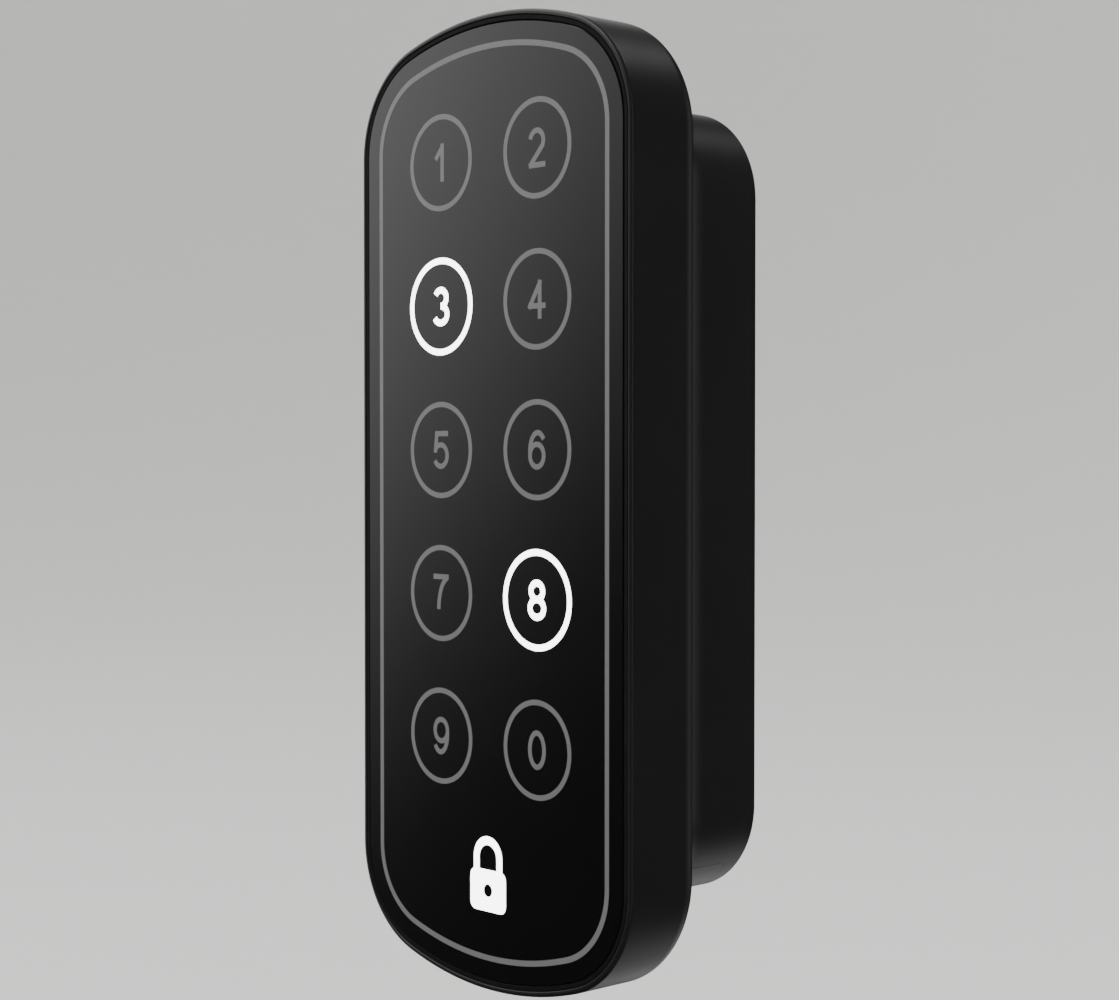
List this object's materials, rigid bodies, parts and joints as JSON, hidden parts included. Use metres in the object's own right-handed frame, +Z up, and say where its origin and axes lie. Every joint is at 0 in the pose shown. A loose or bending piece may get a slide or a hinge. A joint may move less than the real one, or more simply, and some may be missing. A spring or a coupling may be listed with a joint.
{
  "type": "keypad smart lock",
  "caption": "Battery-powered touch-keypad lock for a cabinet or locker door, with a pull-shaped housing, a geared motor, a turning cam behind the door and a battery tray in its foot.",
  "frame": {"origin": "middle of the back plate's face, on the door's surface", "axes": "+Y into the door, +Z up along the lock, +X to the right seen from in front of the door"},
  "size_m": [0.0544, 0.0435, 0.13],
  "materials": {
    "housing_black": "fine matte black powder coat",
    "bezel_black": "gloss black",
    "cover_glass": "polished, printed black from behind",
    "adhesive_tape": "matte foam tape",
    "lamp_white": "white lamp",
    "light_guide": "milky diffuser",
    "board_black": "black solder mask",
    "board_green": "green solder mask",
    "chip_black": "moulded",
    "can_steel": "plated sheet",
    "screw_steel": "bright zinc plate",
    "plate_zinc": "matte black coat over zinc casting",
    "gasket_rubber": "matte",
    "insert_brass": "turned",
    "carrier_plastic": "glass-filled nylon",
    "gear_acetal": "natural acetal",
    "gear_steel": "sintered steel",
    "cam_steel": "zinc-plated pressed steel",
    "tray_black": "matte black, to match the housing",
    "cell_jacket": "printed sleeve",
    "contact_nickel": "nickel plate"
  },
  "bodies": {
    "lock_case": {"housing": "housing_black", "bezel_ring": "bezel_black", "cover_glass": "cover_glass", "glass_adhesive": "adhesive_tape", "key_lamps": "lamp_white", "light_guide": "light_guide", "keypad_board": "board_black", "main_board": "board_green", "board_link": "chip_black", "main_board_chips": "chip_black", "radio_module": "can_steel", "buzzer": "chip_black", "board_screws": "screw_steel", "back_plate": "plate_zinc", "rear_gasket": "gasket_rubber", "threaded_inserts": "insert_brass", "gear_carrier": "carrier_plastic", "carrier_screws": "screw_steel", "cassette_screws": "screw_steel", "motor_can": "can_steel", "first_axle": "screw_steel", "second_axle": "screw_steel", "hall_sensor": "chip_black", "contact_board": "board_green", "contact_springs": "contact_nickel", "power_contacts": "insert_brass"},
    "cam_spindle": {"output_gear": "gear_steel", "spindle": "gear_steel", "spindle_seal": "gasket_rubber", "position_magnet": "can_steel", "cam": "cam_steel", "cam_washer": "screw_steel", "cam_screw": "screw_steel"},
    "second_gear": {"second_gear": "gear_acetal"},
    "first_gear": {"first_gear": "gear_acetal"},
    "motor_rotor": {"motor_shaft": "screw_steel", "motor_pinion": "insert_brass"},
    "tray": {"battery_tray": "tray_black", "tray_seal": "gasket_rubber", "battery_cells": "cell_jacket", "cell_link": "contact_nickel"}
  },
  "joints": [
    {"name": "cam_turn", "type": "hinge", "parent": "lock_case", "child": "cam_spindle", "pos_m": [0, 0, 0.019], "axis": [0, 1, 0], "range_deg": [0, 90]},
    {"name": "second_gear_spin", "type": "hinge", "parent": "lock_case", "child": "second_gear", "pos_m": [0.0066, 0, 0.03358], "axis": [0, 1, 0], "range_deg": [-270, 0]},
    {"name": "first_gear_spin", "type": "hinge", "parent": "lock_case", "child": "first_gear", "pos_m": [-0.0049, 0, 0.037], "axis": [0, 1, 0], "range_deg": [0, 810]},
    {"name": "motor_spin", "type": "hinge", "parent": "lock_case", "child": "motor_rotor", "pos_m": [0, 0, 0.04629], "axis": [0, 1, 0], "range_deg": [-2592, 0]},
    {"name": "tray_slide", "type": "slide", "parent": "lock_case", "child": "tray", "axis": [0, 0, -1], "range_m": [0, 0.054]}
  ],
  "couplings": [
    {"joint": "second_gear_spin", "follows": "cam_turn", "ratio": -3},
    {"joint": "first_gear_spin", "follows": "cam_turn", "ratio": 9},
    {"joint": "motor_spin", "follows": "cam_turn", "ratio": -28.8}
  ]
}
